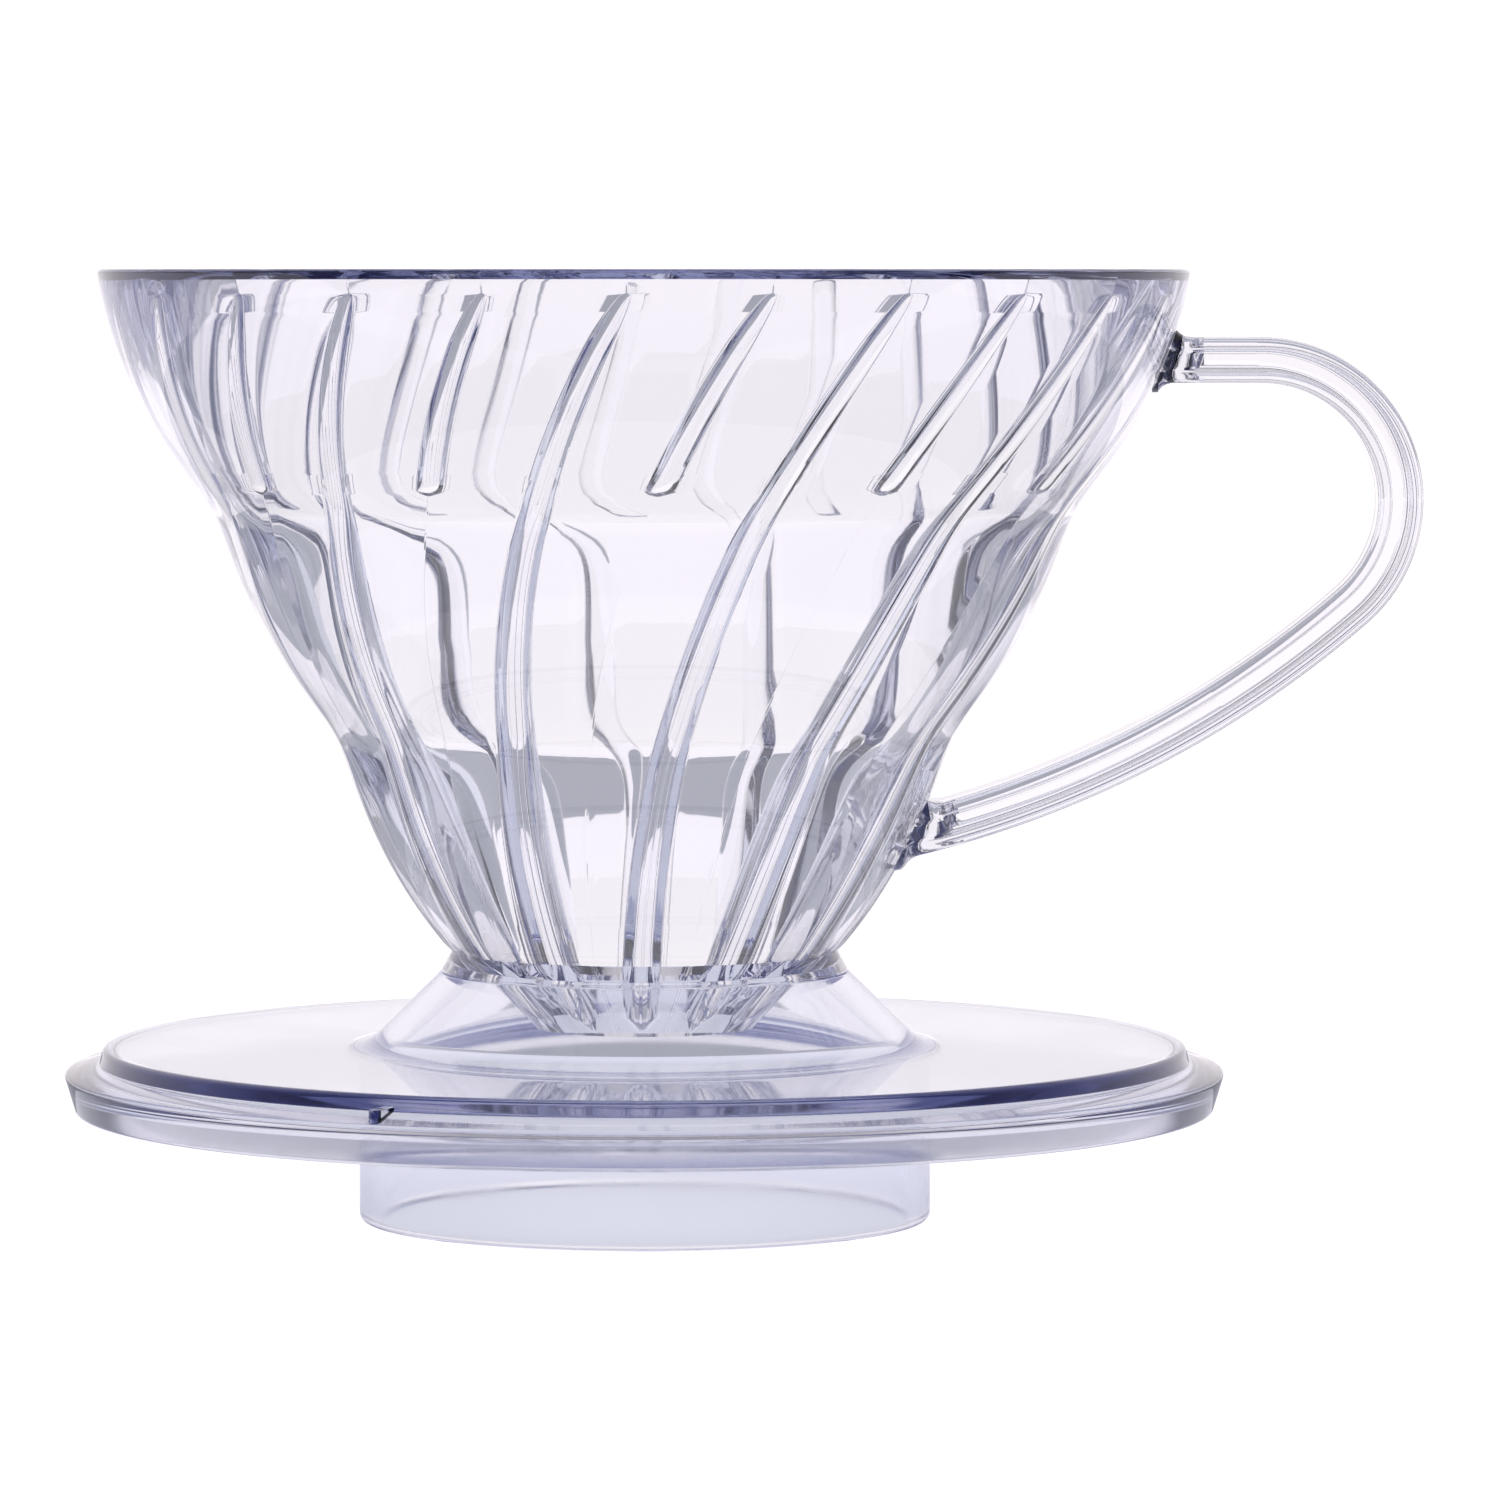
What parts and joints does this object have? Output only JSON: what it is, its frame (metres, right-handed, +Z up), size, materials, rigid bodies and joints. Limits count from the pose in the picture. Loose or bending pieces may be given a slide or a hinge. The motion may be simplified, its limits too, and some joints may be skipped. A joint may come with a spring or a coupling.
{
  "type": "pour over dripper",
  "caption": "Clear plastic cone dripper with spiral ribs inside, a loop handle, and a saucer base with a locating skirt.",
  "frame": {"origin": "centre of the foot ring at the skirt's lower edge", "axes": "+Z up the cone's axis, +X towards the handle"},
  "size_m": [0.1165, 0.0998, 0.0818],
  "materials": {
    "clear_plastic": "polished clear moulding with a faint blue-violet tint",
    "base_plastic": "polished clear moulding with a faint blue-violet tint"
  },
  "bodies": {
    "root": {"cone": "clear_plastic", "base": "base_plastic"}
  },
  "joints": []
}
